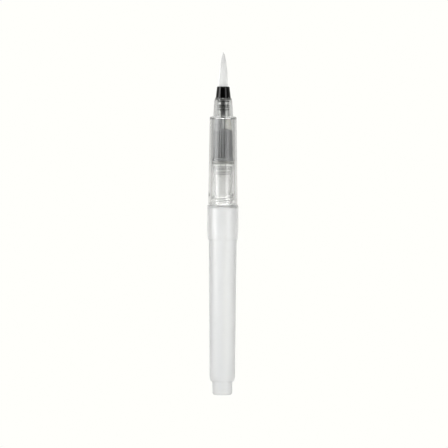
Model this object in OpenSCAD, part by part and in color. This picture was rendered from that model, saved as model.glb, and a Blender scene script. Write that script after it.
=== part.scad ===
// Refillable water brush pen: a squeezable water barrel, and a clear head that screws
// onto its neck and holds the feed, the ferrule and the bristle tuft.
// The axis of the pen is Z. The rear stub stands on z = 0 and the tuft points up.

/* [Stub] */
// Diameter of the closed stub at the rear end
stub_d = 8.4; // [8:0.1:8.8]
// Length of the stub
stub_len = 5.7; // [5:0.1:7]
// Rounding of the stub's rear edge
stub_round = 1.4; // [0.8:0.1:1.6]

/* [Barrel] */
// Diameter of the squeeze tube beside the stub
tube_rear_d = 10.7; // [10.4:0.1:11]
// Diameter of the squeeze tube below the collar
tube_front_d = 11.7; // [11.4:0.1:12]
// Length of the squeeze tube, with its rounded shoulder
tube_len = 59.4; // [50:0.1:70]
// Wall of the squeeze tube
barrel_wall = 0.9; // [0.7:0.1:1.1]
// Diameter of the thick collar in front of the tube
collar_d = 13.1; // [12.8:0.1:13.4]
// Length of the collar
collar_len = 15.1; // [14:0.1:18]

/* [Neck and screw thread] */
// Diameter of the neck that the head screws onto
neck_d = 8.2; // [8.1:0.05:8.3]
// Length of the neck
neck_len = 15.6; // [15:0.1:16]
// Rise of the thread in one turn
thread_pitch = 3; // [2.8:0.1:3.2]
// Turns of thread on the neck
neck_thread_turns = 1.3; // [1:0.1:1.4]

/* [Head shell] */
// Diameter of the head's sleeve at its mouth
sleeve_rear_d = 12.2; // [12:0.1:12.4]
// Diameter of the head's sleeve at its front
sleeve_front_d = 11.25; // [11:0.05:11.4]
// Length of the sleeve
sleeve_len = 36.6; // [36:0.1:38]
// Diameter of the nose where it leaves the sleeve
nose_rear_d = 8.4; // [8.2:0.1:8.6]
// Diameter of the nose behind its front edge
nose_front_d = 7.5; // [7.3:0.1:7.7]
// Length of the nose
nose_len = 7.8; // [7.6:0.1:8.6]
// Diameter of the bore in the nose
nose_bore_d = 5.5; // [5.4:0.1:5.6]

/* [Ferrule and tuft] */
// Diameter of the ferrule at its foot
ferrule_d = 6.4; // [6.2:0.05:6.8]
// Length of the ferrule
ferrule_len = 4.9; // [4.2:0.1:5.2]
// Diameter of the bristle tuft where it leaves the ferrule
tuft_d = 4.1; // [3.8:0.1:4.2]
// Length of bristle in front of the ferrule
tuft_len = 14.6; // [10:0.1:18]

/* [Feed] */
// Diameter of the feed at its rear flange
feed_rear_d = 8.4; // [8:0.1:8.8]
// Diameter of the feed at its front
feed_front_d = 7.6; // [7.2:0.1:7.9]
// Number of capillary grooves round the feed
feed_grooves = 24; // [16:1:28]
// Diameter of the capillary rod that wets the tuft
rod_d = 2; // [1.6:0.1:2.2]

/* [Hidden] */
$fn = 96;
eps = 0.01;

// Heights along the pen, from the rear end to the tip
z_shoulder = stub_len;
shoulder_len = 3.2;
z_tube = z_shoulder + shoulder_len;
z_collar = stub_len + tube_len;
z_neck = z_collar + collar_len;
z_neck_top = z_neck + neck_len;
z_nose = z_neck + sleeve_len;
z_nose_top = z_nose + nose_len;
z_ferrule_top = z_nose_top + ferrule_len;
z_tip = z_ferrule_top + tuft_len;

// Barrel
stub_r = stub_d / 2;
shoulder_step = 0.35;
tube_rear_r = tube_rear_d / 2;
tube_front_r = tube_front_d / 2;
shoulder_w = tube_rear_r - stub_r - shoulder_step;
collar_r = collar_d / 2;
collar_swell = 0.57;
collar_blend = 5.8;
collar_edge_w = 0.5;
collar_edge_len = 1.3;
barrel_floor = 1.3;
funnel_len = 1.6;
neck_r = neck_d / 2;
neck_wall = 0.9;
neck_bore_r = neck_r - neck_wall;
neck_edge = 0.3;

// Screw thread: the neck's ridge and the sleeve's ridge follow one helix, half a pitch apart
thread_step = 15;
thread_root_w = 1.3;
thread_crest_w = 0.8;
thread_sunk = 0.15;
thread_taper = 4;
thread_base = 1;
neck_thread_h = 0.45;
sleeve_thread_h = 0.5;
sleeve_thread_turns = neck_thread_turns - 0.2;

// Head shell
mouth_gap = 0.05;
z_mouth = z_neck + mouth_gap;
mouth_r = 4.8;
sleeve_bore_front_r = 4.35;
cap_land_len = 6;
front_wall = 0.7;
z_shelf = z_nose - front_wall;
sleeve_edge = 0.4;
nose_edge_len = 1.1;
nose_edge_r = 3.5;
nose_bore_r = nose_bore_d / 2;
seat_r = 3.1;
seat_len = 0.8;
z_seat = z_nose_top - seat_len;

// O-ring, held in the sleeve's bore above the plug's flange
ring_section = 0.9;
ring_gap = 0.03;

// Inner plug
flange_len = 1;
boss_r = 3.6;
boss_len = 1.2;
spigot_len = 4.2;
spigot_r = neck_bore_r - 0.25;
rib_len = 0.35;
rib_heights = [1.0, 2.3, 3.1];
tail_r = 0.85;
tail_len = 1.2;
tail_gap = 0.1;
z_flange_top = z_neck_top + flange_len;
z_boss_top = z_flange_top + boss_len;

// Feed
feed_gap = 0.1;
z_feed = z_boss_top + feed_gap;
feed_flange_len = 1;
flange_gap = 0.02;
z_feed_body = z_feed + feed_flange_len;
z_feed_front = z_feed + 13;
z_feed_step = z_feed + 6.9;
z_tongue_top = z_shelf - feed_gap;
feed_rear_r = feed_rear_d / 2;
feed_front_r = feed_front_d / 2;
step_len = 0.4;
step_depth = 0.3;
groove_w = 0.3;
groove_depth = 0.55;
tongue_edge = 0.7;
slit_x = -0.1;
slit_w = 0.4;
slit_base = 0.6;
pocket_rise = 0.65;
pocket_fall = 0.4;
channel_x = 0.25;
channel_w = 0.3;
channel_depth = 1.2;
feed_bore_r = 0.5;

// Buffer sponge
sponge_gap = 0.03;
sponge_top_gap = 0.2;

// Tuft, its root and the sleeve that holds it
tuft_r = tuft_d / 2;
root_len = 1;
z_root = z_nose_top - 0.3;
z_tuft = z_root + root_len;
tuft_blunt = 1.6;
tuft_fullness = 0.6;
holder_r = 2.4;
holder_gap = 0.2;
z_holder = z_nose + holder_gap;
holder_top_gap = 1.3;
z_holder_top = z_ferrule_top - holder_top_gap;
holder_ribs = [0.5, 2.2, 2.9, 4];
holder_rib_len = 0.3;
rod_r = rod_d / 2;
rod_grooves = 6;
rod_groove_w = 0.18;
rod_groove_depth = 0.22;

// Ferrule
ferrule_r = ferrule_d / 2;
ferrule_top_r = 2.65;
ferrule_edge = 0.6;

// Radius of the sleeve's bore at a height
function sleeve_bore(z) =
    mouth_r + (sleeve_bore_front_r - mouth_r) * (z - z_mouth) / (z_shelf - z_mouth);

// Radius of the feed's body at a height
function feed_r(z) =
    feed_rear_r + (feed_front_r - feed_rear_r) * (z - z_feed_body) / (z_feed_front - z_feed_body);

// Radius of the tuft at a fraction of its free length
function tuft_outline(t) = tuft_r * pow(max(0, 1 - pow(t, tuft_blunt)), tuft_fullness);

// Points along an elliptical arc round [r, z], with half-widths a and b
function arc(r, z, a, b, from, to, steps) = [
    for (i = [0:steps])
        let (t = from + (to - from) * i / steps)
        [r + a * cos(t), z + b * sin(t)]
];

// One ring of a helical ridge: root and crest points at an angle and height
function ridge_ring(root, crest, z, angle) = [
    for (p = [
        [root, -thread_root_w / 2], [crest, -thread_crest_w / 2],
        [crest, thread_crest_w / 2], [root, thread_root_w / 2]
    ])
        [p[0] * cos(angle), p[0] * sin(angle), z + p[1]]
];

// Helical ridge from a root radius to a crest radius, with ends that fade into the root
module helical_ridge(root, crest, z, start, turns) {
    steps = round(turns * 360 / thread_step);
    outward = crest > root;
    rings = [
        for (i = [0:steps])
            let (fade = min(1, (min(i, steps - i) + 0.6) / thread_taper))
            ridge_ring(root, root + (crest - root) * fade,
                z + thread_pitch * i * thread_step / 360, start + i * thread_step)
    ];
    sides = [
        for (i = [0:steps - 1])
            for (k = [0:3])
                let (next = (k + 1) % 4)
                for (face = [
                    [4 * i + k, 4 * i + 4 + k, 4 * i + next],
                    [4 * i + next, 4 * i + 4 + k, 4 * i + 4 + next]
                ])
                    face
    ];
    ends = [[0, 1, 2, 3], [for (k = [3:-1:0]) 4 * steps + k]];
    faces = [for (face = concat(sides, ends)) outward ? [for (k = [len(face) - 1:-1:0]) face[k]] : face];
    polyhedron(points = [for (ring = rings) for (p = ring) p], faces = faces, convexity = 6);
}

// Outside of the barrel, from the stub to the neck
module barrel_body() {
    rotate_extrude()
    polygon(concat(
        [[0, 0]],
        arc(stub_r - stub_round, stub_round, stub_round, stub_round, -90, 0, 6),
        [[stub_r, z_shoulder]],
        arc(tube_rear_r - shoulder_w, z_tube, shoulder_w, shoulder_len, -90, 0, 8),
        [[tube_front_r, z_collar]],
        arc(collar_r - collar_swell, z_collar + collar_blend, collar_swell, collar_blend, -90, 0, 8),
        arc(collar_r - collar_edge_w, z_neck - collar_edge_len, collar_edge_w, collar_edge_len, 0, 90, 6),
        [[neck_r, z_neck], [neck_r, z_neck_top - neck_edge],
            [neck_r - neck_edge, z_neck_top], [0, z_neck_top]]
    ));
}

// Water space inside the barrel, open at the neck
module reservoir() {
    stub_bore_r = stub_r - barrel_wall;
    rear_r = tube_rear_r - barrel_wall;
    front_r = tube_front_r - barrel_wall;
    rotate_extrude()
    polygon(concat(
        [[0, barrel_floor]],
        arc(stub_bore_r - stub_round, barrel_floor + stub_round, stub_round, stub_round, -90, 0, 4),
        [[stub_bore_r, z_shoulder + barrel_wall], [rear_r, z_tube + barrel_wall],
            [front_r, z_collar], [front_r, z_neck - funnel_len],
            [neck_bore_r, z_neck - barrel_wall], [neck_bore_r, z_neck_top + 1], [0, z_neck_top + 1]]
    ));
}

module barrel() {
    color("whitesmoke")
    difference() {
        union() {
            barrel_body();
            helical_ridge(neck_r - thread_sunk, neck_r + neck_thread_h,
                z_neck + thread_base, 0, neck_thread_turns);
        }
        reservoir();
    }
}

// Plug pressed into the neck, with sealing ribs, a flange and a bore for the feed's tail
module inner_plug() {
    color("gainsboro")
    difference() {
        union() {
            translate([0, 0, z_neck_top - spigot_len])
                cylinder(r = spigot_r, h = spigot_len + eps);
            for (drop = rib_heights)
                translate([0, 0, z_neck_top - drop - rib_len])
                    cylinder(r = neck_bore_r, h = rib_len);
            translate([0, 0, z_neck_top])
                cylinder(r = neck_r, h = flange_len);
            translate([0, 0, z_flange_top - eps])
                cylinder(r = boss_r, h = boss_len + eps);
        }
        translate([0, 0, z_neck_top - spigot_len - 1])
            cylinder(r = tail_r + tail_gap, h = spigot_len + flange_len + boss_len + 2);
    }
}

// Rubber ring that seals the head against the plug's flange
module o_ring() {
    color("gainsboro")
    translate([0, 0, z_flange_top + ring_section / 2 + ring_gap])
    rotate_extrude()
    translate([boss_r + ring_gap + ring_section / 2, 0])
        circle(d = ring_section);
}

// Clear shell: threaded sleeve, step and nose in one piece
module head_shell() {
    sleeve_r = sleeve_rear_d / 2;
    front_r = sleeve_front_d / 2;
    nose_r = nose_rear_d / 2;
    z_land = z_mouth + cap_land_len;
    color("lightsteelblue", 0.5)
    union() {
        rotate_extrude()
        polygon(concat(
            [[mouth_r, z_mouth], [sleeve_r, z_mouth], [sleeve_r, z_land]],
            arc(front_r - sleeve_edge, z_nose - sleeve_edge, sleeve_edge, sleeve_edge, 0, 90, 5),
            [[nose_r, z_nose], [nose_front_d / 2, z_nose_top - nose_edge_len],
                [nose_edge_r, z_nose_top], [seat_r, z_nose_top], [seat_r, z_seat],
                [nose_bore_r, z_seat], [nose_bore_r, z_shelf], [sleeve_bore_front_r, z_shelf]]
        ));
        helical_ridge(mouth_r + thread_sunk, mouth_r - sleeve_thread_h,
            z_neck + thread_base, 180, sleeve_thread_turns);
    }
}

// Black nose ring that closes over the front of the tuft sleeve, with a foot in the nose's seat
module ferrule() {
    color("black")
    rotate_extrude()
    polygon(concat(
        [[holder_r, z_seat], [seat_r, z_seat], [seat_r, z_nose_top], [ferrule_r, z_nose_top]],
        arc(ferrule_top_r - ferrule_edge, z_ferrule_top - ferrule_edge, ferrule_edge, ferrule_edge, 0, 90, 6),
        [[tuft_r, z_ferrule_top], [tuft_r, z_holder_top], [holder_r, z_holder_top]]
    ));
}

// Clear holder that carries the tuft, ribbed where it presses into the nose
module tuft_sleeve() {
    color("white")
    difference() {
        union() {
            translate([0, 0, z_holder])
                cylinder(r = holder_r, h = z_holder_top - z_holder);
            for (drop = holder_ribs)
                translate([0, 0, z_seat - drop - holder_rib_len])
                    cylinder(r = nose_bore_r, h = holder_rib_len);
        }
        translate([0, 0, z_holder - 1])
            cylinder(r = tuft_r, h = z_holder_top - z_holder + 2);
    }
}

// Outer form of the nylon tuft, with a full belly and a fine point
module bristle_tuft() {
    steps = 24;
    color("white")
    rotate_extrude()
    polygon(concat(
        [[0, z_tuft], [tuft_r, z_tuft]],
        [for (i = [0:steps]) [tuft_outline(i / steps), z_ferrule_top + tuft_len * i / steps]]
    ));
}

// Fused root of the tuft, with a seat for the rod
module root_plug() {
    color("ivory")
    difference() {
        translate([0, 0, z_root])
            cylinder(r = tuft_r, h = root_len);
        translate([0, 0, z_root - 1])
            cylinder(r = rod_r, h = 1 + z_nose_top - z_root);
    }
}

// Grooved capillary rod from the feed's tongue to the root of the tuft
module feed_rod() {
    color("black")
    translate([0, 0, z_tongue_top])
    linear_extrude(z_nose_top - z_tongue_top)
    difference() {
        circle(r = rod_r);
        for (i = [0:rod_grooves - 1])
            rotate(360 * i / rod_grooves)
                translate([rod_r - rod_groove_depth, -rod_groove_w / 2])
                    square([2 * rod_groove_depth, rod_groove_w]);
    }
}

// Sloping prism beside the tongue, where the sponge sits
module sponge_pocket(inset, top) {
    reach = feed_rear_r + 1;
    fall = pocket_rise + pocket_fall;
    slope = fall / (feed_front_r - tongue_edge);
    low = z_feed_front + pocket_rise + inset;
    translate([0, reach, 0])
    rotate([90, 0, 0])
    linear_extrude(2 * reach)
    polygon([
        [tongue_edge + inset, low], [reach, low - slope * (reach - tongue_edge)],
        [reach, top], [tongue_edge + inset, top]
    ]);
}

// Feed: hollow tail, flange, grooved cone with a ring groove and a channel, and a slit tongue
module feed_body() {
    flange_r = sleeve_bore(z_feed_body) - flange_gap;
    tongue_r = feed_r(z_tongue_top);
    color([0.35, 0.35, 0.36])
    difference() {
        union() {
            translate([0, 0, z_feed - tail_len])
                cylinder(r = tail_r, h = tail_len + eps);
            translate([0, 0, z_feed])
                cylinder(r = flange_r, h = feed_flange_len);
            translate([0, 0, z_feed_body - eps])
                cylinder(r1 = feed_rear_r, r2 = tongue_r, h = z_tongue_top - z_feed_body + eps);
        }
        sponge_pocket(0, z_tongue_top + 1);
        translate([slit_x, -feed_rear_r, z_feed_front + slit_base])
            cube([slit_w, 2 * feed_rear_r, z_tongue_top - z_feed_front]);
        for (i = [0:feed_grooves - 1])
            rotate((i + 0.5) * 360 / feed_grooves)
                translate([feed_front_r - groove_depth, -groove_w / 2, z_feed_body + groove_w])
                    cube([2, groove_w, z_feed_front - z_feed_body - 2 * groove_w]);
        translate([0, 0, z_feed_step])
        difference() {
            cylinder(r = feed_rear_r + 1, h = step_len);
            translate([0, 0, -eps])
                cylinder(r = feed_r(z_feed_step) - step_depth, h = step_len + 2 * eps);
        }
        translate([channel_x, -feed_rear_r - 1, z_feed_body + groove_w])
            cube([channel_w, 1 + channel_depth, z_tongue_top - z_feed_body]);
        translate([0, 0, z_feed - tail_len - 1])
            cylinder(r = feed_bore_r, h = 1 + tail_len + z_feed_front + slit_base - z_feed + eps);
    }
}

// Pale sponge that buffers the water beside the tongue
module buffer_sponge() {
    color("antiquewhite")
    intersection() {
        translate([0, 0, z_feed_body])
            cylinder(r = feed_r(z_tongue_top) - sponge_gap, h = z_tongue_top - z_feed_body);
        sponge_pocket(sponge_gap, z_tongue_top - sponge_top_gap);
    }
}

barrel();
inner_plug();
o_ring();
head_shell();
ferrule();
tuft_sleeve();
bristle_tuft();
root_plug();
feed_rod();
feed_body();
buffer_sponge();
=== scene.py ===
"""Looks of the water brush pen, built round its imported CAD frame.

Every piece is a turned or cut mesh in metres, in the frame's own axes: Z runs from the rear stub to the tip
of the tuft. Heights and outer radii come from the frame's boxes, and the finer shapes inside them are the
named sizes below.
"""

import math
import random

import bmesh
import bpy
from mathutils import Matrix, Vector


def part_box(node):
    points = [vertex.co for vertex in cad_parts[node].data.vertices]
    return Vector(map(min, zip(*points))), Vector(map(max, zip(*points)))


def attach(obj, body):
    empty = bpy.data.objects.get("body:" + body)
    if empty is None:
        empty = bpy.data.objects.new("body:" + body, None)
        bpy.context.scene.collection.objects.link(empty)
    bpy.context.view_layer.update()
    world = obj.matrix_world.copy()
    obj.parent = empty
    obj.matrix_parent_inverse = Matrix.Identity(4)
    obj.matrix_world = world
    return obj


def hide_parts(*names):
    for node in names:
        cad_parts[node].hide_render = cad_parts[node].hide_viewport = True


MM = 0.001

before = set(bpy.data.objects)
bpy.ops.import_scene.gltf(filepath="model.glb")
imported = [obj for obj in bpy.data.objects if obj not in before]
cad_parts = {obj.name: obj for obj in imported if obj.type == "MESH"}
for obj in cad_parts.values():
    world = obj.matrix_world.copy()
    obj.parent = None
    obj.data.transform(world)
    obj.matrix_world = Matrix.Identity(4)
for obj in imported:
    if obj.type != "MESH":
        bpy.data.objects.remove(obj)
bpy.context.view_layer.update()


def span(node):
    """A CAD node's lowest and highest height, and its outer radius, in millimetres."""
    low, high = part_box(node)
    return low.z / MM, high.z / MM, high.y / MM


# ---------------------------------------------------------------- sizes, in millimetres
# The plug's flange is as wide as the neck it closes, so it gives the neck's radius.
_, Z_NECK_TOP, COLLAR_R = span("barrel")
Z_MOUTH, Z_NOSE_TOP, SLEEVE_R = span("head_shell")
_, Z_FERRULE_TOP, FERRULE_R = span("ferrule")
Z_TUFT, Z_TIP, TUFT_R = span("bristle_tuft")
Z_ROOT, _, _ = span("root_plug")
Z_HOLDER, Z_HOLDER_TOP, _ = span("tuft_sleeve")
Z_ROD, Z_ROD_TOP, ROD_R = span("feed_rod")
Z_TAIL, Z_FEED_TOP, FEED_FLANGE_R = span("feed_body")
Z_PLUG, Z_BOSS_TOP, NECK_R = span("inner_plug")
Z_RING, Z_RING_TOP, RING_R = span("o_ring")

# Gaps between pieces
MOUTH_GAP = 0.05
PRESS_GAP = 0.01
SLIP_GAP = 0.02
Z_NECK = Z_MOUTH - MOUTH_GAP

# Barrel
STUB_R = 4.2
STUB_LEN = 5.7
STUB_ROUND = 1.4
SHOULDER_LEN = 3.2
SHOULDER_STEP = 0.35
TUBE_REAR_R = 5.35
TUBE_FRONT_R = 5.85
COLLAR_LEN = 15.1
COLLAR_SWELL = 0.57
COLLAR_BLEND = 5.8
COLLAR_EDGE_W = 0.5
COLLAR_EDGE_LEN = 1.3
BARREL_WALL = 0.9
BARREL_FLOOR = 1.3
FUNNEL_LEN = 1.6
NECK_EDGE = 0.3
NECK_FOOT = 0.1
Z_TUBE = STUB_LEN + SHOULDER_LEN
Z_COLLAR = Z_NECK - COLLAR_LEN
NECK_BORE_R = NECK_R - BARREL_WALL

# Screw thread
PITCH = 3.0
THREAD_BASE = 1.0
THREAD_ROW = 0.06
THREAD_ROOT_HALF = 0.65
THREAD_CREST_HALF = 0.4
THREAD_FADE_TURNS = 0.33
THREAD_ZONE = 6.0
NECK_THREAD_H = 0.45
NECK_THREAD_TURNS = 1.3
SLEEVE_THREAD_H = 0.5
SLEEVE_THREAD_TURNS = 1.1
SLEEVE_THREAD_START = 0.5

# Head shell
MOUTH_R = 4.8
SLEEVE_FRONT_R = 5.625
SLEEVE_BORE_FRONT_R = 4.35
CAP_LAND_LEN = 6.0
SLEEVE_LEN = 36.6
FRONT_WALL = 0.7
NOSE_REAR_R = 4.2
NOSE_FRONT_R = 3.75
NOSE_EDGE_LEN = 1.1
NOSE_EDGE_R = 3.5
NOSE_BORE_R = 2.75
SEAT_LEN = 0.8
SEAT_R = 3.1
Z_NOSE = Z_NECK + SLEEVE_LEN
Z_SHELF = Z_NOSE - FRONT_WALL
Z_SEAT = Z_NOSE_TOP - SEAT_LEN

# Ferrule and the tuft's holder, with how far below the seat its ribs' tops are
HOLDER_R = 2.4
FERRULE_TOP_R = 2.65
FERRULE_EDGE = 0.6
HOLDER_RIBS = (4.0, 2.9, 2.2, 0.5)
HOLDER_RIB_LEN = 0.3

# Inner plug, with how far below the neck's top its ribs' tops are
FLANGE_LEN = 1.0
BOSS_R = 3.6
SPIGOT_R = NECK_BORE_R - 0.25
PLUG_RIBS = (3.1, 2.3, 1.0)
PLUG_RIB_LEN = 0.35
PLUG_BORE_R = 0.95
Z_FLANGE_TOP = Z_NECK_TOP + FLANGE_LEN

# Feed and sponge
FEED_FLANGE_LEN = 1.0
FEED_REAR_R = 4.2
FEED_FRONT_R = 3.8
FEED_LEN = 13.0
FEED_STEP = 6.9
FEED_STEP_LEN = 0.4
FEED_STEP_DEPTH = 0.3
FEED_GROOVES = 24
GROOVE_W = 0.3
GROOVE_DEPTH = 0.55
TONGUE_EDGE = 0.7
SLIT_X = -0.1
SLIT_W = 0.4
SLIT_BASE = 0.6
POCKET_RISE = 0.65
POCKET_FALL = 0.4
SPONGE_GAP = 0.03
SPONGE_TOP_GAP = 0.2
SPONGE_VOXEL = 0.07
PORE_SIZE = 0.35
PORE_DEPTH = 0.12
CUT_PAST = 1.0
TAIL_R = 0.85
TAIL_LEN = 1.2
FEED_BORE_R = 0.5
CHANNEL_X = 0.25
CHANNEL_W = 0.3
CHANNEL_DEPTH = 1.2
Z_FEED = Z_TAIL + TAIL_LEN
Z_FEED_BODY = Z_FEED + FEED_FLANGE_LEN
Z_FEED_FRONT = Z_FEED + FEED_LEN

# Tuft: shares are of its radius, and shortfalls and the taper's start are of a filament's length
TUFT_BLUNT = 1.6
TUFT_FULLNESS = 0.6
FILAMENTS = 900
FILAMENT_CROWD = 0.44
FILAMENT_R = 0.075
FILAMENT_TIP_R = 0.022
FILAMENT_TAPER_START = 0.45
FILAMENT_RINGS = 14
FILAMENT_SIDES = 5
FILAMENT_SWAY = 0.05
POINT_FILAMENTS = 20
OUTER_SHARE = 0.93
OUTER_SHORTFALL = 0.3
SIDE_SHORTFALL = 0.06
ANY_SHORTFALL = 0.14
TUFT_SEED = 11

# Meshing: the most of an edge that a fillet takes, a radius that counts as the axis, how close two radii
# are to be the same, the faces round each mesh, and the angles, in degrees, past which an edge stays crisp
FILLET_SHARE = 0.49
ON_AXIS = 1e-6
SAME_R = 0.01
SEGMENTS = 144
THREAD_SEGMENTS = 240
FEED_SEGMENTS = 360
SPONGE_SEGMENTS = 96
CRISP = 38
CRISP_FILAMENT = 100
ALL_SMOOTH = 180


# ---------------------------------------------------------------- mesh helpers
def arc(r, z, a, b, start, stop, steps):
    """Points along an elliptical arc round (r, z), with half-widths a and b, angles in degrees."""
    angles = [math.radians(start + (stop - start) * i / steps) for i in range(steps + 1)]
    return [(r + a * math.cos(t), z + b * math.sin(t)) for t in angles]


def rounded(corners, steps=4, closed=True):
    """An outline whose (r, z, fillet) corners are rounded, and whose (r, z) corners stay as they are."""
    out = []
    count = len(corners)
    for i, corner in enumerate(corners):
        here = Vector(corner[:2])
        fillet = corner[2] if len(corner) > 2 else 0
        at_end = not closed and i in (0, count - 1)
        if fillet <= 0 or at_end:
            out.append((here.x, here.y))
            continue
        back = Vector(corners[i - 1][:2]) - here
        ahead = Vector(corners[(i + 1) % count][:2]) - here
        reach = min(fillet, FILLET_SHARE * back.length, FILLET_SHARE * ahead.length)
        first = here + back.normalized() * reach
        last = here + ahead.normalized() * reach
        for k in range(steps + 1):
            s = k / steps
            p = first * (1 - s) ** 2 + here * 2 * s * (1 - s) + last * s**2
            out.append((p.x, p.y))
    return out


def rows(start, stop, pitch):
    """Evenly spaced outline points between two (r, z) points, both ends left out."""
    a, b = Vector(start), Vector(stop)
    count = max(1, int((b - a).length / pitch))
    return [tuple(a.lerp(b, i / count)) for i in range(1, count)]


def mark_sharp(mesh_data, angle=CRISP):
    """Smooth faces, with edges sharper than the angle kept crisp."""
    bm = bmesh.new()
    bm.from_mesh(mesh_data)
    bmesh.ops.recalc_face_normals(bm, faces=bm.faces)
    limit = math.radians(angle)
    for face in bm.faces:
        face.smooth = True
    for edge in bm.edges:
        if len(edge.link_faces) == 2 and edge.calc_face_angle(0) > limit:
            edge.smooth = False
    bm.to_mesh(mesh_data)
    bm.free()


def add_piece(name, bm):
    """A new object from a bmesh whose coordinates are in millimetres."""
    data = bpy.data.meshes.new(name)
    bmesh.ops.scale(bm, vec=(MM, MM, MM), verts=bm.verts)
    bm.to_mesh(data)
    bm.free()
    mark_sharp(data)
    obj = bpy.data.objects.new(name, data)
    bpy.context.scene.collection.objects.link(obj)
    return obj


def turned_mesh(outline, segments=SEGMENTS, closed=True, radius_at=None):
    """A bmesh of an (r, z) outline turned round Z. radius_at(r, z, angle) may shape each ring."""
    bm = bmesh.new()
    rings = []
    for r, z in outline:
        if r < ON_AXIS:
            rings.append([bm.verts.new((0, 0, z))])
            continue
        ring = []
        for k in range(segments):
            angle = 2 * math.pi * k / segments
            radius = radius_at(r, z, angle) if radius_at else r
            ring.append(bm.verts.new((radius * math.cos(angle), radius * math.sin(angle), z)))
        rings.append(ring)
    pairs = list(zip(rings, rings[1:]))
    if closed:
        pairs.append((rings[-1], rings[0]))
    for lower, upper in pairs:
        if len(lower) == 1 and len(upper) == 1:
            continue
        for k in range(segments):
            n = (k + 1) % segments
            if len(lower) == 1:
                bm.faces.new((lower[0], upper[n], upper[k]))
            elif len(upper) == 1:
                bm.faces.new((lower[k], lower[n], upper[0]))
            else:
                bm.faces.new((lower[k], lower[n], upper[n], upper[k]))
    return bm


def turned(name, outline, **how):
    """A new piece turned from an (r, z) outline."""
    return add_piece(name, turned_mesh(outline, **how))


def ridge(z, angle, start, turns, base):
    """Height of a screw ridge, 0 to 1, where it passes a height and an angle (in turns from its start)."""
    best = 0.0
    turn = (angle / (2 * math.pi) - start) % 1.0
    while turn <= turns:
        off = abs(z - base - PITCH * turn)
        flank = (THREAD_ROOT_HALF - off) / (THREAD_ROOT_HALF - THREAD_CREST_HALF)
        fade = min(1, turn / THREAD_FADE_TURNS, (turns - turn) / THREAD_FADE_TURNS)
        rise = min(1, max(0, flank)) * max(0, fade)
        best = max(best, rise * rise * (3 - 2 * rise))
        turn += 1.0
    return best


def rib(base_r, crest_r, high, length, foot, edge):
    """Outline corners of a rib on a cylinder, from its top down its length, with its two fillets."""
    low = high - length
    return [(base_r, low, foot), (crest_r, low, edge), (crest_r, high, edge), (base_r, high, foot)]


def off_groove(angle, grooves, first=0.0):
    """Angle to the nearest of evenly spaced grooves, the first of which lies at a share of the spacing."""
    spacing = 2 * math.pi / grooves
    return abs((angle / spacing + 0.5 - first) % 1.0 - 0.5) * spacing


# ---------------------------------------------------------------- pieces
def make_barrel():
    """Squeeze barrel, hollow, from the stub's floor to the threaded neck."""
    shoulder_w = TUBE_REAR_R - STUB_R - SHOULDER_STEP
    stub_bore = STUB_R - BARREL_WALL
    rear_bore = TUBE_REAR_R - BARREL_WALL
    front_bore = TUBE_FRONT_R - BARREL_WALL
    neck_foot = (NECK_R, Z_NECK + NECK_FOOT)
    thread_end = (NECK_R, Z_NECK + THREAD_ZONE)
    outside = [(0, 0)]
    outside += arc(STUB_R - STUB_ROUND, STUB_ROUND, STUB_ROUND, STUB_ROUND, -90, 0, 10)
    outside += rounded(
        [(STUB_R, STUB_ROUND), (STUB_R, STUB_LEN, 0.12), (STUB_R + 0.3, STUB_LEN + 0.02)],
        steps=3, closed=False,
    )[1:-1]
    outside += arc(TUBE_REAR_R - shoulder_w, Z_TUBE, shoulder_w, SHOULDER_LEN, -88, 0, 14)
    outside += rounded(
        [(TUBE_REAR_R, Z_TUBE), (TUBE_FRONT_R, Z_COLLAR, 0.15), (TUBE_FRONT_R + 0.2, Z_COLLAR)],
        steps=3, closed=False,
    )[1:-1]
    collar_centre = COLLAR_R - COLLAR_SWELL
    outside += arc(collar_centre, Z_COLLAR + COLLAR_BLEND, COLLAR_SWELL, COLLAR_BLEND, -88, 0, 16)
    edge_centre = COLLAR_R - COLLAR_EDGE_W
    outside += arc(edge_centre, Z_NECK - COLLAR_EDGE_LEN, COLLAR_EDGE_W, COLLAR_EDGE_LEN, 0, 90, 10)
    neck_root = [(edge_centre, Z_NECK), (NECK_R, Z_NECK, 0.2), neck_foot]
    outside += rounded(neck_root, steps=3, closed=False)[1:]
    outside += rows(neck_foot, thread_end, THREAD_ROW)
    outside += rounded(
        [thread_end, (NECK_R, Z_NECK_TOP, NECK_EDGE), (NECK_BORE_R, Z_NECK_TOP, 0.1), (NECK_BORE_R, Z_NECK)],
        closed=False,
    )[:-1]
    inside = rounded([
        (NECK_BORE_R, Z_NECK_TOP),
        (NECK_BORE_R, Z_NECK - BARREL_WALL, 0.5),
        (front_bore, Z_NECK - FUNNEL_LEN, 0.5),
        (front_bore, Z_COLLAR, 2.0),
        (rear_bore, Z_TUBE + BARREL_WALL, 1.5),
        (stub_bore, STUB_LEN + BARREL_WALL, 1.0),
        (stub_bore, BARREL_FLOOR, 1.4),
        (0, BARREL_FLOOR),
    ], steps=8, closed=False)[1:]

    def with_thread(r, z, angle):
        on_neck = abs(r - NECK_R) < SAME_R and Z_NECK < z < Z_NECK + THREAD_ZONE
        if not on_neck:
            return r
        height = ridge(z, angle, 0, NECK_THREAD_TURNS, Z_NECK + THREAD_BASE)
        return r + NECK_THREAD_H * height

    return turned(
        "barrel_shell", outside + inside, segments=THREAD_SEGMENTS, closed=False, radius_at=with_thread,
    )


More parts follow.
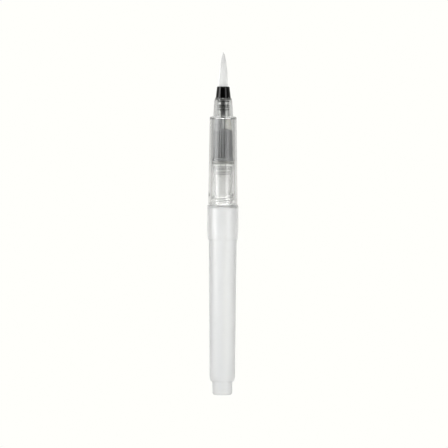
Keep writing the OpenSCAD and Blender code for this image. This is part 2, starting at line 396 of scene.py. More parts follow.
def make_head_shell():
    """Clear sleeve and nose in one shell, with the screw ridge in its mouth."""
    bore_slope = (SLEEVE_BORE_FRONT_R - MOUTH_R) / SLEEVE_LEN
    thread_end = (MOUTH_R + bore_slope * THREAD_ZONE, Z_MOUTH + THREAD_ZONE)
    mouth_edge = (MOUTH_R, Z_MOUTH + 0.2)
    outline = rounded([
        (MOUTH_R, Z_MOUTH, 0.18),
        (SLEEVE_R, Z_MOUTH, 0.2),
        (SLEEVE_R, Z_MOUTH + CAP_LAND_LEN, 0.6),
        (SLEEVE_FRONT_R, Z_NOSE, 0.45),
        (NOSE_REAR_R, Z_NOSE, 0.2),
        (NOSE_FRONT_R, Z_NOSE_TOP - NOSE_EDGE_LEN, 0.3),
        (NOSE_EDGE_R, Z_NOSE_TOP, 0.2),
        (SEAT_R, Z_NOSE_TOP, 0.06),
        (SEAT_R, Z_SEAT, 0.05),
        (NOSE_BORE_R, Z_SEAT, 0.05),
        (NOSE_BORE_R, Z_SHELF, 0.15),
        (SLEEVE_BORE_FRONT_R, Z_SHELF, 0.5),
        thread_end,
    ], steps=5)
    outline += rows(thread_end, mouth_edge, THREAD_ROW)

    def with_thread(r, z, angle):
        in_mouth = r < MOUTH_R + SAME_R and z < Z_MOUTH + THREAD_ZONE
        if not in_mouth:
            return r
        height = ridge(z, angle, SLEEVE_THREAD_START, SLEEVE_THREAD_TURNS, Z_NECK + THREAD_BASE)
        return r - SLEEVE_THREAD_H * height

    return turned("clear_shell", outline, segments=THREAD_SEGMENTS, radius_at=with_thread)


def make_ferrule():
    """Black nose ring with a rounded front edge and a foot in the nose's seat."""
    outline = rounded([
        (HOLDER_R, Z_SEAT + PRESS_GAP, 0.05),
        (SEAT_R - SLIP_GAP, Z_SEAT + PRESS_GAP, 0.06),
        (SEAT_R - SLIP_GAP, Z_NOSE_TOP, 0.05),
        (FERRULE_R, Z_NOSE_TOP, 0.12),
        (FERRULE_TOP_R, Z_FERRULE_TOP, FERRULE_EDGE),
        (TUFT_R, Z_FERRULE_TOP, 0.12),
        (TUFT_R, Z_HOLDER_TOP, 0.04),
        (HOLDER_R, Z_HOLDER_TOP, 0.04),
    ], steps=8)
    return turned("nose_ring", outline)


def make_holder():
    """Clear ribbed holder of the tuft, pressed into the nose."""
    corners = [(TUFT_R, Z_HOLDER, 0.15), (HOLDER_R, Z_HOLDER, 0.12)]
    for drop in HOLDER_RIBS:
        corners += rib(
            HOLDER_R, NOSE_BORE_R - PRESS_GAP, Z_SEAT - drop, HOLDER_RIB_LEN, foot=0.04, edge=0.15,
        )
    corners += [
        (HOLDER_R, Z_SEAT, 0.02), (HOLDER_R - PRESS_GAP, Z_SEAT + 0.1, 0.02),
        (HOLDER_R - PRESS_GAP, Z_HOLDER_TOP - PRESS_GAP, 0.1), (TUFT_R, Z_HOLDER_TOP - PRESS_GAP, 0.05),
    ]
    return turned("tuft_holder", rounded(corners))


def make_plug():
    """Plug in the neck, with sealing ribs, flange, boss and a bore for the feed's tail."""
    corners = [(PLUG_BORE_R, Z_PLUG, 0.1), (SPIGOT_R, Z_PLUG, 0.2)]
    for drop in PLUG_RIBS:
        corners += rib(
            SPIGOT_R, NECK_BORE_R - PRESS_GAP, Z_NECK_TOP - drop, PLUG_RIB_LEN, foot=0.05, edge=0.17,
        )
    corners += [
        (SPIGOT_R, Z_NECK_TOP + PRESS_GAP, 0.05), (NECK_R, Z_NECK_TOP + PRESS_GAP, 0.3),
        (NECK_R, Z_FLANGE_TOP, 0.35), (BOSS_R, Z_FLANGE_TOP, 0.1),
        (BOSS_R, Z_BOSS_TOP, 0.3), (PLUG_BORE_R, Z_BOSS_TOP, 0.15),
    ]
    return turned("neck_plug", rounded(corners))


def make_seal():
    """Rubber ring, with the fine flash line that moulding leaves round its outside."""
    section = (Z_RING_TOP - Z_RING) / 2
    flash = 0.015
    centre_r = RING_R - section
    centre_z = (Z_RING + Z_RING_TOP) / 2
    steps = 28
    outline = []
    for i in range(steps):
        t = 2 * math.pi * i / steps
        bulge = section - flash if i else section
        outline.append((centre_r + bulge * math.cos(t), centre_z + bulge * math.sin(t)))
    return turned("seal_ring", outline)


def make_rod():
    """Capillary rod with grooves along it."""
    grooves = 6
    depth = 0.2
    half_angle = 0.12
    chamfer = 0.05

    def grooved(r, z, angle):
        in_groove = r > depth and off_groove(angle, grooves) < half_angle
        return r - depth if in_groove else r

    outline = [(0, Z_ROD), (ROD_R - chamfer, Z_ROD), (ROD_R, Z_ROD + chamfer)]
    outline += rows((ROD_R, Z_ROD), (ROD_R, Z_ROD_TOP), 1.0)
    outline += [(ROD_R, Z_ROD_TOP - chamfer), (ROD_R - chamfer, Z_ROD_TOP), (0, Z_ROD_TOP)]
    return turned("capillary_rod", outline, closed=False, radius_at=grooved)


def make_root():
    """Fused root of the tuft, with a seat for the rod and a slightly slumped rim."""
    inner = ROD_R + SLIP_GAP
    outer = TUFT_R - SLIP_GAP
    top = Z_TUFT - SLIP_GAP
    corners = [
        (0, Z_ROD_TOP + PRESS_GAP), (inner, Z_ROD_TOP + PRESS_GAP, 0.05), (inner, Z_ROOT, 0.05),
        (outer, Z_ROOT, 0.25), (outer, top, 0.1), (0, top),
    ]
    return turned("fused_root_disc", rounded(corners, steps=5, closed=False), closed=False)


def pocket_prism(inset, top):
    """bmesh of the sloping prism beside the tongue, where the sponge sits."""
    reach = FEED_REAR_R + CUT_PAST
    slope = (POCKET_RISE + POCKET_FALL) / (FEED_FRONT_R - TONGUE_EDGE)
    low = Z_FEED_FRONT + POCKET_RISE + inset
    outline = [
        (TONGUE_EDGE + inset, low), (reach, low - slope * (reach - TONGUE_EDGE)),
        (reach, top), (TONGUE_EDGE + inset, top),
    ]
    bm = bmesh.new()
    near = [bm.verts.new((x, -reach, z)) for x, z in outline]
    far = [bm.verts.new((x, reach, z)) for x, z in outline]
    bm.faces.new(near)
    bm.faces.new(far[::-1])
    for i in range(len(outline)):
        n = (i + 1) % len(outline)
        bm.faces.new((near[i], far[i], far[n], near[n]))
    return bm


def box_mesh(low, high):
    """bmesh of a box between two corners."""
    bm = bmesh.new()
    bmesh.ops.create_cube(bm, size=1)
    size = Vector(high) - Vector(low)
    bmesh.ops.scale(bm, vec=size, verts=bm.verts)
    bmesh.ops.translate(bm, vec=(Vector(high) + Vector(low)) / 2, verts=bm.verts)
    return bm


def apply_modifiers(obj):
    """Bakes an object's modifiers into its mesh."""
    graph = bpy.context.evaluated_depsgraph_get()
    result = bpy.data.meshes.new_from_object(obj.evaluated_get(graph))
    old = obj.data
    obj.modifiers.clear()
    obj.data = result
    bpy.data.meshes.remove(old)


def cut(obj, cutters, operation="DIFFERENCE"):
    """Boolean of an object with bmeshes, then the cutters are thrown away."""
    tools = [add_piece(f"cutter_{i}", bm) for i, bm in enumerate(cutters)]
    for tool in tools:
        step = obj.modifiers.new("cut", "BOOLEAN")
        step.operation = operation
        step.solver = "EXACT"
        step.object = tool
    apply_modifiers(obj)
    for tool in tools:
        data = tool.data
        bpy.data.objects.remove(tool)
        bpy.data.meshes.remove(data)


def soften_edges(obj, width, angle):
    """Small bevel on the edges of a cut piece that are sharper than the angle."""
    step = obj.modifiers.new("soft", "BEVEL")
    step.width = width * MM
    step.segments = 2
    step.limit_method = "ANGLE"
    step.angle_limit = math.radians(angle)
    step.harden_normals = False
    apply_modifiers(obj)
    mark_sharp(obj.data)


def feed_radius(z):
    """Radius of the feed's cone at a height."""
    return FEED_REAR_R + (FEED_FRONT_R - FEED_REAR_R) * (z - Z_FEED_BODY) / (Z_FEED_FRONT - Z_FEED_BODY)


def make_feed():
    """Feed: flange, grooved cone with a ring groove, slit tongue and a pocket for the sponge."""
    z_step = Z_FEED + FEED_STEP
    step_r = feed_radius(z_step) - FEED_STEP_DEPTH
    groove_low = Z_FEED_BODY + GROOVE_W
    groove_high = Z_FEED_FRONT - GROOVE_W
    groove_end = 0.05
    corners = [
        (0, Z_FEED_FRONT), (FEED_BORE_R, Z_FEED_FRONT), (FEED_BORE_R, Z_TAIL, 0.1),
        (TAIL_R, Z_TAIL, 0.15), (TAIL_R, Z_FEED, 0.1), (FEED_FLANGE_R, Z_FEED, 0.12),
        (FEED_FLANGE_R, Z_FEED_BODY, 0.12), (FEED_REAR_R, Z_FEED_BODY, 0.1),
        (feed_radius(groove_low), groove_low), (feed_radius(groove_low), groove_low + groove_end),
        (feed_radius(z_step), z_step, 0.05), (step_r, z_step, 0.04),
        (step_r, z_step + FEED_STEP_LEN, 0.04), (feed_radius(z_step), z_step + FEED_STEP_LEN, 0.05),
        (feed_radius(groove_high), groove_high - groove_end), (feed_radius(groove_high), groove_high),
        (feed_radius(Z_FEED_TOP), Z_FEED_TOP, 0.15), (0, Z_FEED_TOP),
    ]

    def grooved(r, z, angle):
        on_cone = groove_low + groove_end / 2 < z < groove_high - groove_end / 2
        in_groove = on_cone and off_groove(angle, FEED_GROOVES, first=0.5) * r < GROOVE_W / 2
        return FEED_FRONT_R - GROOVE_DEPTH if in_groove else r

    outline = rounded(corners, steps=3, closed=False)
    feed = turned("feed", outline, segments=FEED_SEGMENTS, closed=False, radius_at=grooved)
    past_side = FEED_REAR_R + CUT_PAST
    past_top = Z_FEED_TOP + CUT_PAST
    slit = box_mesh(
        (SLIT_X, -past_side, Z_FEED_FRONT + SLIT_BASE),
        (SLIT_X + SLIT_W, past_side, past_top),
    )
    channel = box_mesh(
        (CHANNEL_X, -past_side, groove_low),
        (CHANNEL_X + CHANNEL_W, CHANNEL_DEPTH - FEED_REAR_R, past_top),
    )
    cut(feed, [pocket_prism(0, past_top), slit, channel])
    soften_edges(feed, width=0.05, angle=50)
    return feed


def make_sponge():
    """Open-cell sponge beside the tongue, with pores pressed into its skin."""
    inset = SPONGE_GAP + PORE_DEPTH / 2
    radius = feed_radius(Z_FEED_TOP) - inset
    corners = [(0, Z_FEED_BODY), (radius, Z_FEED_BODY), (radius, Z_FEED_TOP), (0, Z_FEED_TOP)]
    outline = rounded(corners, closed=False)
    sponge = turned("foam_buffer", outline, segments=SPONGE_SEGMENTS, closed=False)
    cut(sponge, [pocket_prism(inset, Z_FEED_TOP - SPONGE_TOP_GAP)], "INTERSECT")
    remesh = sponge.modifiers.new("even", "REMESH")
    remesh.mode = "VOXEL"
    remesh.voxel_size = SPONGE_VOXEL * MM
    apply_modifiers(sponge)
    cells = bpy.data.textures.new("pores", "VORONOI")
    cells.noise_scale = PORE_SIZE * MM
    step = sponge.modifiers.new("pores", "DISPLACE")
    step.texture = cells
    step.texture_coords = "LOCAL"
    step.strength = PORE_DEPTH * MM
    step.mid_level = 1.0
    apply_modifiers(sponge)
    mark_sharp(sponge.data, ALL_SMOOTH)
    return sponge


def tuft_radius(t):
    """Radius of the tuft at a fraction of its free length."""
    return TUFT_R * max(0.0, 1 - t**TUFT_BLUNT) ** TUFT_FULLNESS


def filament_reach(rng, index, share):
    """A filament's free length as a share of the tuft's: a few make the point, and the outer fall short."""
    reach = 1 - SIDE_SHORTFALL * rng.random() * share - ANY_SHORTFALL * rng.random() ** 2
    if share > OUTER_SHARE:
        reach = 1 - OUTER_SHORTFALL * rng.random() ** 2
    return 1 if index < POINT_FILAMENTS else reach


def add_filament(bm, angle, share, reach, sway):
    """One filament, at a share of the tuft's radius and an angle, following the tuft's outline."""
    free = Z_TIP - Z_FERRULE_TOP
    rings = []
    for k in range(FILAMENT_RINGS + 1):
        s = k / FILAMENT_RINGS
        z = Z_TUFT + (Z_FERRULE_TOP + free * reach - Z_TUFT) * s
        t = max(0.0, (z - Z_FERRULE_TOP) / free)
        taper = max(0.0, (s - FILAMENT_TAPER_START) / (1 - FILAMENT_TAPER_START))
        thick = FILAMENT_R + (FILAMENT_TIP_R - FILAMENT_R) * taper
        room = max(0.0, tuft_radius(t) - thick)
        if z < Z_FERRULE_TOP:
            room = min(room, TUFT_R - thick - SLIP_GAP)
        r = share * room
        turn = angle + sway * t
        centre = Vector((r * math.cos(turn), r * math.sin(turn), z))
        ring = []
        for m in range(FILAMENT_SIDES):
            a = 2 * math.pi * m / FILAMENT_SIDES + angle
            ring.append(bm.verts.new(centre + Vector((thick * math.cos(a), thick * math.sin(a), 0))))
        rings.append(ring)
    for lower, upper in zip(rings, rings[1:]):
        for m in range(FILAMENT_SIDES):
            n = (m + 1) % FILAMENT_SIDES
            bm.faces.new((lower[m], lower[n], upper[n], upper[m]))
    bm.faces.new(rings[0][::-1])
    bm.faces.new(rings[-1])


def make_tuft():
    """Several hundred separate nylon filaments, gathered into a fine point."""
    rng = random.Random(TUFT_SEED)
    golden = math.pi * (3 - math.sqrt(5))
    bm = bmesh.new()
    for i in range(FILAMENTS):
        share = ((i + 0.5) / FILAMENTS) ** FILAMENT_CROWD
        reach = filament_reach(rng, i, share)
        sway = rng.gauss(0, FILAMENT_SWAY)
        add_filament(bm, i * golden, share, reach, sway)
    tuft = add_piece("tuft_filaments", bm)
    mark_sharp(tuft.data, CRISP_FILAMENT)
    return tuft


# ---------------------------------------------------------------- materials
NECK_POLISH = 0.12
PLUG_IOR = 1.2
HEAD_GREY = (0.77, 0.775, 0.775)
HEAD_GREY_LIGHT = (0.82, 0.825, 0.825)
GREY_START = Z_NECK + 13
GREY_FULL = Z_FEED + 1
POLISH_BLEND = 1.0
FERRULE_BLACK = (0.0012, 0.0012, 0.0012)
ROD_GREY = (0.014, 0.014, 0.015)
FEED_GREY = (0.56, 0.56, 0.57)
GRAIN_DARK = 0.7

# The range that most of a noise falls in, and how fast its finer octaves fade
NOISE_LOW = 0.35
NOISE_HIGH = 0.65
NOISE_ROUGH = 0.55

# Painted shade in dark lines where a rib or an edge touches the wall round it: the share of the light each
# line lets through, and its half-width
HOLDER_RIB_SHADE = 0.08
HOLDER_SHADE_W = 0.3
PLUG_RIB_SHADE = 0.35
PLUG_SEAT_SHADE = 0.75
PLUG_TOP_SHADE = 0.6
PLUG_SHADE_W = 0.2

# Colour sockets of the Mix node, whose names are shared with its other kinds
MIX_A = 6
MIX_B = 7
MIX_RESULT = 2


def material(name, **values):
    """A Principled material with its plain values set on the shader's own sockets."""
    mat = bpy.data.materials.new(name)
    mat.use_nodes = True
    shader = mat.node_tree.nodes["Principled BSDF"]
    for key, value in values.items():
        shader.inputs[key.replace("_", " ")].default_value = value
    return mat, mat.node_tree.nodes, mat.node_tree.links, shader


def noise(nodes, links, scale, detail, stretch=(1, 1, 1)):
    """Noise in the piece's own coordinates, in features per metre, stretched per axis."""
    coords = nodes.new("ShaderNodeTexCoord")
    mapping = nodes.new("ShaderNodeMapping")
    mapping.inputs["Scale"].default_value = stretch
    field = nodes.new("ShaderNodeTexNoise")
    field.inputs["Scale"].default_value = scale
    field.inputs["Detail"].default_value = detail
    field.inputs["Roughness"].default_value = NOISE_ROUGH
    links.new(coords.outputs["Object"], mapping.inputs["Vector"])
    links.new(mapping.outputs["Vector"], field.inputs["Vector"])
    return field.outputs["Fac"]


def point_height(nodes, links):
    """The point's height in the frame, in metres."""
    coords = nodes.new("ShaderNodeTexCoord")
    split = nodes.new("ShaderNodeSeparateXYZ")
    links.new(coords.outputs["Object"], split.inputs["Vector"])
    return split.outputs["Z"]


def ramp(nodes, links, source, low, high, start=NOISE_LOW, stop=NOISE_HIGH):
    """Maps a value between start and stop, by default a noise's middle range, to low to high."""
    step = nodes.new("ShaderNodeMapRange")
    step.inputs["From Min"].default_value = start
    step.inputs["From Max"].default_value = stop
    step.inputs["To Min"].default_value = low
    step.inputs["To Max"].default_value = high
    links.new(source, step.inputs["Value"])
    return step.outputs["Result"]


def along(nodes, links, low, high, start, stop):
    """A number that goes from low to high between two heights in millimetres."""
    return ramp(nodes, links, point_height(nodes, links), low, high, start * MM, stop * MM)


def tint(nodes, links, source, dark, light):
    """Maps a noise's middle range to colours between dark and light."""
    step = nodes.new("ShaderNodeValToRGB")
    step.color_ramp.elements[0].position = NOISE_LOW
    step.color_ramp.elements[0].color = (*dark, 1)
    step.color_ramp.elements[1].position = NOISE_HIGH
    step.color_ramp.elements[1].color = (*light, 1)
    links.new(source, step.inputs["Fac"])
    return step.outputs["Color"]


def colour_mix(nodes, links, one, other, blend):
    """A Mix node of two colours."""
    mix = nodes.new("ShaderNodeMix")
    mix.data_type = "RGBA"
    mix.blend_type = blend
    links.new(one, mix.inputs[MIX_A])
    links.new(other, mix.inputs[MIX_B])
    return mix


def blended(nodes, links, share, one, other):
    """Colour between two others, by a share from 0 to 1."""
    mix = colour_mix(nodes, links, one, other, "MIX")
    links.new(share, mix.inputs["Factor"])
    return mix.outputs[MIX_RESULT]


def multiplied(nodes, links, one, other):
    """Product of two colours."""
    mix = colour_mix(nodes, links, one, other, "MULTIPLY")
    mix.inputs["Factor"].default_value = 1.0
    return mix.outputs[MIX_RESULT]


def times(nodes, links, one, other):
    """Product of two numbers."""
    step = nodes.new("ShaderNodeMath")
    step.operation = "MULTIPLY"
    links.new(one, step.inputs[0])
    links.new(other, step.inputs[1])
    return step.outputs["Value"]


def painted_shade_bands(nodes, links, lines, low, high, half_width):
    """Painted shade: a colour multiplier along the height in millimetres, darker at the lines, which are
    (height, level), and 1 between them.
    """
    shade = nodes.new("ShaderNodeValToRGB")
    stops = shade.color_ramp.elements
    stops[0].color = (1, 1, 1, 1)
    for z, level in sorted(lines):
        for offset, value in ((-1, 1.0), (-1 / 3, level), (1 / 3, level), (1, 1.0)):
            place_on_ramp = (z + offset * half_width - low) / (high - low)
            stops.new(place_on_ramp).color = (value, value, value, 1)
    links.new(along(nodes, links, 0.0, 1.0, low, high), shade.inputs["Fac"])
    return shade.outputs["Color"]


def bump(nodes, links, source, shader, strength, depth):
    """Feeds a height into the shader's normal, with the depth of its relief in millimetres."""
    step = nodes.new("ShaderNodeBump")
    step.inputs["Strength"].default_value = strength
    step.inputs["Distance"].default_value = depth * MM
    links.new(source, step.inputs["Height"])
    links.new(step.outputs["Normal"], shader.inputs["Normal"])


def frosted_material():
    """Milky squeeze plastic: translucent, faintly mottled and satin, but clear and polished on the neck."""
    mat, nodes, links, shader = material(
        "frosted_barrel", IOR=1.5, Transmission_Weight=0.88, Coat_Weight=0.6, Coat_Roughness=0.14,
    )
    mottling = noise(nodes, links, scale=260, detail=3, stretch=(1, 1, 0.04))
    milky = tint(nodes, links, mottling, dark=(0.955, 0.963, 0.985), light=(0.995, 0.998, 1.0))
    clear = tint(nodes, links, mottling, dark=(0.997, 0.997, 0.993), light=(1.0, 1.0, 0.998))
    at_neck = along(nodes, links, 0.0, 1.0, Z_NECK - POLISH_BLEND, Z_NECK)
    links.new(blended(nodes, links, at_neck, milky, clear), shader.inputs["Base Color"])
    skin = noise(nodes, links, scale=2400, detail=3, stretch=(1, 1, 0.6))
    satin = ramp(nodes, links, skin, low=0.28, high=0.34)
    polish = along(nodes, links, 1.0, NECK_POLISH, Z_NECK - POLISH_BLEND, Z_NECK)
    links.new(times(nodes, links, satin, polish), shader.inputs["Roughness"])
    flow = noise(nodes, links, scale=150, detail=3, stretch=(1, 1, 0.12))
    bump(nodes, links, flow, shader, strength=0.2, depth=0.06)
    return mat


def clear_material():
    """Clear moulded plastic, greyer towards the front, with slight flow waves and hairline handling marks."""
    mat, nodes, links, shader = material("clear_shell", IOR=1.5, Transmission_Weight=1.0)
    haze = noise(nodes, links, scale=420, detail=4, stretch=(1, 1, 0.2))
    rear = tint(nodes, links, haze, dark=(0.994, 0.997, 1.0), light=(1.0, 1.0, 1.0))
    front = tint(nodes, links, haze, dark=HEAD_GREY, light=HEAD_GREY_LIGHT)
    share = along(nodes, links, 0.0, 1.0, GREY_START, GREY_FULL)
    links.new(blended(nodes, links, share, rear, front), shader.inputs["Base Color"])
    marks = noise(nodes, links, scale=1500, detail=6, stretch=(1, 1, 0.15))
    links.new(ramp(nodes, links, marks, low=0.1, high=0.18), shader.inputs["Roughness"])
    waves = noise(nodes, links, scale=180, detail=2, stretch=(1, 1, 0.25))
    bump(nodes, links, waves, shader, strength=0.12, depth=0.05)
    return mat


def holder_material():
    """The same clear plastic a little hazier, as a small thin moulding is, with painted shade in dark lines
    at its ribs.
    """
    mat, nodes, links, shader = material("clear_holder", IOR=1.5, Transmission_Weight=0.95)
    haze = noise(nodes, links, scale=900, detail=4, stretch=(1, 1, 0.4))
    clear = tint(nodes, links, haze, dark=(0.96, 0.96, 0.95), light=(1.0, 1.0, 0.99))
    # Painted shade: dark lines at the ribs' heights stand in for the shade where the ribs press on the nose
    lines = [(Z_SEAT - drop - HOLDER_RIB_LEN / 2, HOLDER_RIB_SHADE) for drop in HOLDER_RIBS]
    shade_lines = painted_shade_bands(nodes, links, lines, Z_HOLDER, Z_HOLDER_TOP, HOLDER_SHADE_W)
    links.new(multiplied(nodes, links, clear, shade_lines), shader.inputs["Base Color"])
    links.new(ramp(nodes, links, haze, low=0.03, high=0.08), shader.inputs["Roughness"])
    bump(nodes, links, haze, shader, strength=0.1, depth=0.02)
    return mat


def plug_material():
    """Natural, unpigmented plastic, a little hazier than the shell, with painted shade in lines at its ribs,
    at its seat on the neck and just above its flange.
    """
    mat, nodes, links, shader = material("natural_plug", IOR=PLUG_IOR, Transmission_Weight=1.0)
    haze = noise(nodes, links, scale=1100, detail=4)
    clear = tint(nodes, links, haze, dark=(0.985, 0.985, 0.98), light=(1.0, 1.0, 0.99))
    # Painted shade: dark lines at the ribs, where the flange sits on the neck, and just above the flange's
    # top
    lines = [(Z_NECK_TOP - drop - PLUG_RIB_LEN / 2, PLUG_RIB_SHADE) for drop in PLUG_RIBS]
    lines += [(Z_NECK_TOP, PLUG_SEAT_SHADE), (Z_FLANGE_TOP + 0.1, PLUG_TOP_SHADE)]
    shade_lines = painted_shade_bands(nodes, links, lines, Z_PLUG, Z_BOSS_TOP, PLUG_SHADE_W)
    links.new(multiplied(nodes, links, clear, shade_lines), shader.inputs["Base Color"])
    links.new(ramp(nodes, links, haze, low=0.08, high=0.16), shader.inputs["Roughness"])
    bump(nodes, links, haze, shader, strength=0.12, depth=0.02)
    return mat


def moulded_material(name, base, rough_low, rough_high, grain):
    """Opaque moulded plastic with a fine spark-eroded skin."""
    mat, nodes, links, shader = material(name, IOR=1.5)
    skin = noise(nodes, links, scale=grain, detail=4)
    dark = tuple(GRAIN_DARK * c for c in base)
    links.new(tint(nodes, links, skin, dark, base), shader.inputs["Base Color"])
    links.new(ramp(nodes, links, skin, rough_low, rough_high), shader.inputs["Roughness"])
    bump(nodes, links, skin, shader, strength=0.1, depth=0.01)
    return mat


def ferrule_material():
    """Semi-gloss black plastic."""
    return moulded_material("black_ferrule", FERRULE_BLACK, rough_low=0.08, rough_high=0.12, grain=6000)


def rod_material():
    """Satin plastic, nearly black."""
    return moulded_material("dark_rod", ROD_GREY, rough_low=0.35, rough_high=0.5, grain=4000)


def feed_material():
    """Satin smoky grey plastic."""
    return moulded_material("grey_feed", FEED_GREY, rough_low=0.22, rough_high=0.36, grain=5000)


def silicone_material():
    """Natural silicone: pale, matt and translucent."""
    mat, nodes, links, shader = material("seal_rubber", IOR=1.41, Transmission_Weight=0.7)
    skin = noise(nodes, links, scale=5200, detail=4)
    pale = tint(nodes, links, skin, dark=(0.84, 0.84, 0.81), light=(0.92, 0.92, 0.9))
    links.new(pale, shader.inputs["Base Color"])
    links.new(ramp(nodes, links, skin, low=0.35, high=0.5), shader.inputs["Roughness"])
    bump(nodes, links, skin, shader, strength=0.2, depth=0.01)
    return mat


def sponge_material():
    """Cream open-cell foam, with painted shade down in its pores: darker where its fine bump relief is low.
    """
    mat, nodes, links, shader = material("cream_sponge", IOR=1.4, Subsurface_Weight=0.2)
    shader.inputs["Subsurface Radius"].default_value = (0.6, 0.5, 0.35)
    shader.inputs["Subsurface Scale"].default_value = 0.5 * MM
    cells = noise(nodes, links, scale=4200, detail=6)
    # The noise's dark end is painted shade in the bump's hollows, as well as uneven cream tone
    cream = tint(nodes, links, cells, dark=(0.84, 0.82, 0.76), light=(0.97, 0.96, 0.92))
    links.new(cream, shader.inputs["Base Color"])
    links.new(ramp(nodes, links, cells, low=0.7, high=0.95), shader.inputs["Roughness"])
    bump(nodes, links, cells, shader, strength=0.6, depth=0.05)
    return mat


def bristle_material():
    """White nylon filament: silky along its length, slightly translucent."""
    mat, nodes, links, shader = material(
        "nylon_bristle", IOR=1.53, Subsurface_Weight=0.6, Specular_IOR_Level=0.25,
    )
    shader.inputs["Subsurface Radius"].default_value = (1.0, 1.0, 1.0)
    shader.inputs["Subsurface Scale"].default_value = 1.0 * MM
    streak = noise(nodes, links, scale=5200, detail=3, stretch=(1, 1, 0.04))
    white = tint(nodes, links, streak, dark=(0.83, 0.835, 0.835), light=(0.895, 0.9, 0.9))
    links.new(white, shader.inputs["Base Color"])
    links.new(ramp(nodes, links, streak, low=0.3, high=0.45), shader.inputs["Roughness"])
    return mat


def root_material():
    """Fused nylon, waxy and a little yellowed."""
    mat, nodes, links, shader = material("fused_root", IOR=1.5, Subsurface_Weight=0.4)
    shader.inputs["Subsurface Radius"].default_value = (1.0, 0.9, 0.6)
    shader.inputs["Subsurface Scale"].default_value = 0.5 * MM
    melt = noise(nodes, links, scale=1800, detail=4)
    waxy = tint(nodes, links, melt, dark=(0.72, 0.67, 0.52), light=(0.88, 0.85, 0.76))
    links.new(waxy, shader.inputs["Base Color"])
    links.new(ramp(nodes, links, melt, low=0.3, high=0.5), shader.inputs["Roughness"])
    bump(nodes, links, melt, shader, strength=0.3, depth=0.05)
    return mat


# ---------------------------------------------------------------- assembly
def place(obj, mat, body, node):
    """Gives a piece its material and body, and hides the CAD node it stands in for."""
    obj.data.materials.clear()
    obj.data.materials.append(mat)
    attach(obj, body)
    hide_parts(node)


def build_pen():
    """Every piece with its material, on its body and in place of its CAD node."""
    place(make_barrel(), frosted_material(), "barrel", "barrel")
    place(make_plug(), plug_material(), "barrel", "inner_plug")
    place(make_seal(), silicone_material(), "seal", "o_ring")
    place(make_head_shell(), clear_material(), "head", "head_shell")
    place(make_ferrule(), ferrule_material(), "head", "ferrule")
    place(make_holder(), holder_material(), "head", "tuft_sleeve")
    place(make_tuft(), bristle_material(), "head", "bristle_tuft")
    place(make_root(), root_material(), "head", "root_plug")
    place(make_rod(), rod_material(), "head", "feed_rod")
    place(make_feed(), feed_material(), "head", "feed_body")
    place(make_sponge(), sponge_material(), "head", "buffer_sponge")


# ---------------------------------------------------------------- stage, light and camera
# Height of the view at the pen and the height of its middle, as the photograph frames them
VIEW_MM = 188.2
VIEW_MID_Z = 71.8
LENS = 200.0
SENSOR = 36.0
CLIP_START = 0.01
CAMERA_SIDE = 0.5
CAMERA_ROLL = -0.2
NESTED_WALLS = 32

# The floor is FLOOR_HALF metres each way, and glows by FLOOR_GLOW on everything but the camera
BACKDROP = (1.0, 1.0, 0.965)
FLOOR_HALF = 3.0
FLOOR_GLOW = 0.8

# Brightness of the surround by direction: WALLS from the camera's side (-1) to the back (1), CEILING by rise
WALLS = ((-0.5, 0.0), (0.0, 0.14), (0.5, 0.38), (0.85, 0.74), (1.0, 1.0))
CEILING = ((0.4, 0.0), (0.75, 3.8))

# Softboxes, in metres: side_deg is degrees round from the camera towards +X, and level is the height
SOFTBOXES = {
    "key": dict(side_deg=-66, level=0.08, width=0.36, tall=0.9, distance=0.6, radiance=3.2),
    "fill": dict(side_deg=44, level=0.08, width=0.3, tall=0.9, distance=0.7, radiance=1.6),
    "top": dict(side_deg=0, level=0.55, width=0.3, tall=0.3, distance=0.25, radiance=3.2, aim_level=0.13),
}


def make_camera():
    """Level with the middle of the pen, square on to it."""
    data = bpy.data.cameras.new("camera")
    data.lens = LENS
    data.sensor_width = SENSOR
    data.clip_start = CLIP_START
    distance = VIEW_MM * MM * LENS / SENSOR
    camera = bpy.data.objects.new("camera", data)
    camera.location = (CAMERA_SIDE * MM, -distance, VIEW_MID_Z * MM)
    camera.rotation_euler = (math.radians(90), math.radians(CAMERA_ROLL), 0)
    bpy.context.scene.collection.objects.link(camera)
    bpy.context.scene.camera = camera


def make_floor():
    """Pale seamless floor, as bright as the sweep where the camera sees it."""
    bm = bmesh.new()
    bmesh.ops.create_grid(bm, x_segments=1, y_segments=1, size=FLOOR_HALF / MM)
    floor = add_piece("floor", bm)
    mat, nodes, links, shader = material("floor", Roughness=0.9)
    shader.inputs["Base Color"].default_value = (0, 0, 0, 1)
    shader.inputs["Specular IOR Level"].default_value = 0
    shader.inputs["Emission Color"].default_value = (*BACKDROP, 1)
    path = nodes.new("ShaderNodeLightPath")
    glow = nodes.new("ShaderNodeMapRange")
    glow.inputs["To Min"].default_value = FLOOR_GLOW
    glow.inputs["To Max"].default_value = 1.0
    links.new(path.outputs["Is Camera Ray"], glow.inputs["Value"])
    links.new(glow.outputs["Result"], shader.inputs["Emission Strength"])
    floor.data.materials.append(mat)


def softbox(name, side_deg, level, width, tall, distance, radiance, aim_level=None):
    """Soft light at a height of level that faces the pen."""
    data = bpy.data.lights.new(name, "AREA")
    data.shape = "RECTANGLE"
    data.size = width
    data.size_y = tall
    data.energy = radiance * math.pi * width * tall
    light = bpy.data.objects.new(name, data)
    side = math.radians(side_deg)
    light.location = (distance * math.sin(side), -distance * math.cos(side), level)
    aim = Vector((0, 0, level if aim_level is None else aim_level)) - light.location
    light.rotation_euler = aim.to_track_quat("-Z", "Y").to_euler()
    bpy.context.scene.collection.objects.link(light)


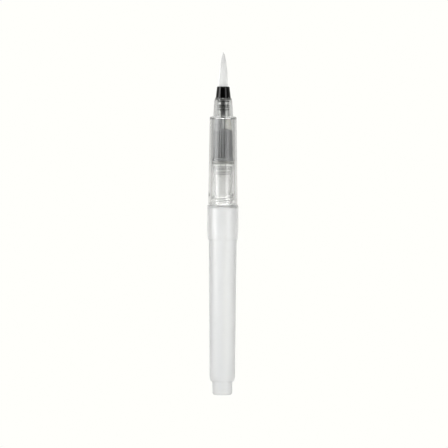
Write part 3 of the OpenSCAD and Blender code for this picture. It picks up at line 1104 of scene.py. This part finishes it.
def world_ramp(nodes, links, source, stops):
    """Brightness of the surround along one direction, from -1 to 1."""
    toward = nodes.new("ShaderNodeMapRange")
    toward.inputs["From Min"].default_value = -1
    toward.inputs["From Max"].default_value = 1
    shade = nodes.new("ShaderNodeValToRGB")
    first, last = stops[0], stops[-1]
    marks = shade.color_ramp.elements
    for mark, (direction, level) in zip(marks, (first, last)):
        mark.position = (direction + 1) / 2
        mark.color = (level, level, level, 1)
    for direction, level in stops[1:-1]:
        marks.new((direction + 1) / 2).color = (level, level, level, 1)
    links.new(source, toward.inputs["Value"])
    links.new(toward.outputs["Result"], shade.inputs["Fac"])
    return shade.outputs["Color"]


def make_world():
    """White sweep behind the pen, a dark room behind the camera, and a bright ceiling."""
    world = bpy.data.worlds.new("studio")
    bpy.context.scene.world = world
    world.use_nodes = True
    nodes, links = world.node_tree.nodes, world.node_tree.links
    surround = nodes["Background"]
    coords = nodes.new("ShaderNodeTexCoord")
    split = nodes.new("ShaderNodeSeparateXYZ")
    path = nodes.new("ShaderNodeLightPath")
    brighter = nodes.new("ShaderNodeMath")
    brighter.operation = "MAXIMUM"
    seen = nodes.new("ShaderNodeMath")
    seen.operation = "MAXIMUM"
    links.new(coords.outputs["Generated"], split.inputs["Vector"])
    links.new(world_ramp(nodes, links, split.outputs["Y"], WALLS), brighter.inputs[0])
    links.new(world_ramp(nodes, links, split.outputs["Z"], CEILING), brighter.inputs[1])
    links.new(brighter.outputs["Value"], seen.inputs[0])
    links.new(path.outputs["Is Camera Ray"], seen.inputs[1])
    links.new(seen.outputs["Value"], surround.inputs["Strength"])
    surround.inputs["Color"].default_value = (*BACKDROP, 1)


def build_studio():
    """Camera, floor, surround and lights, with enough bounces for clear walls inside clear walls."""
    make_camera()
    make_floor()
    make_world()
    for name, how in SOFTBOXES.items():
        softbox(name, **how)
    scene = bpy.context.scene
    scene.view_settings.view_transform = "Standard"
    scene.cycles.max_bounces = NESTED_WALLS
    scene.cycles.transmission_bounces = NESTED_WALLS
    scene.cycles.diffuse_bounces = NESTED_WALLS


build_studio()
build_pen()
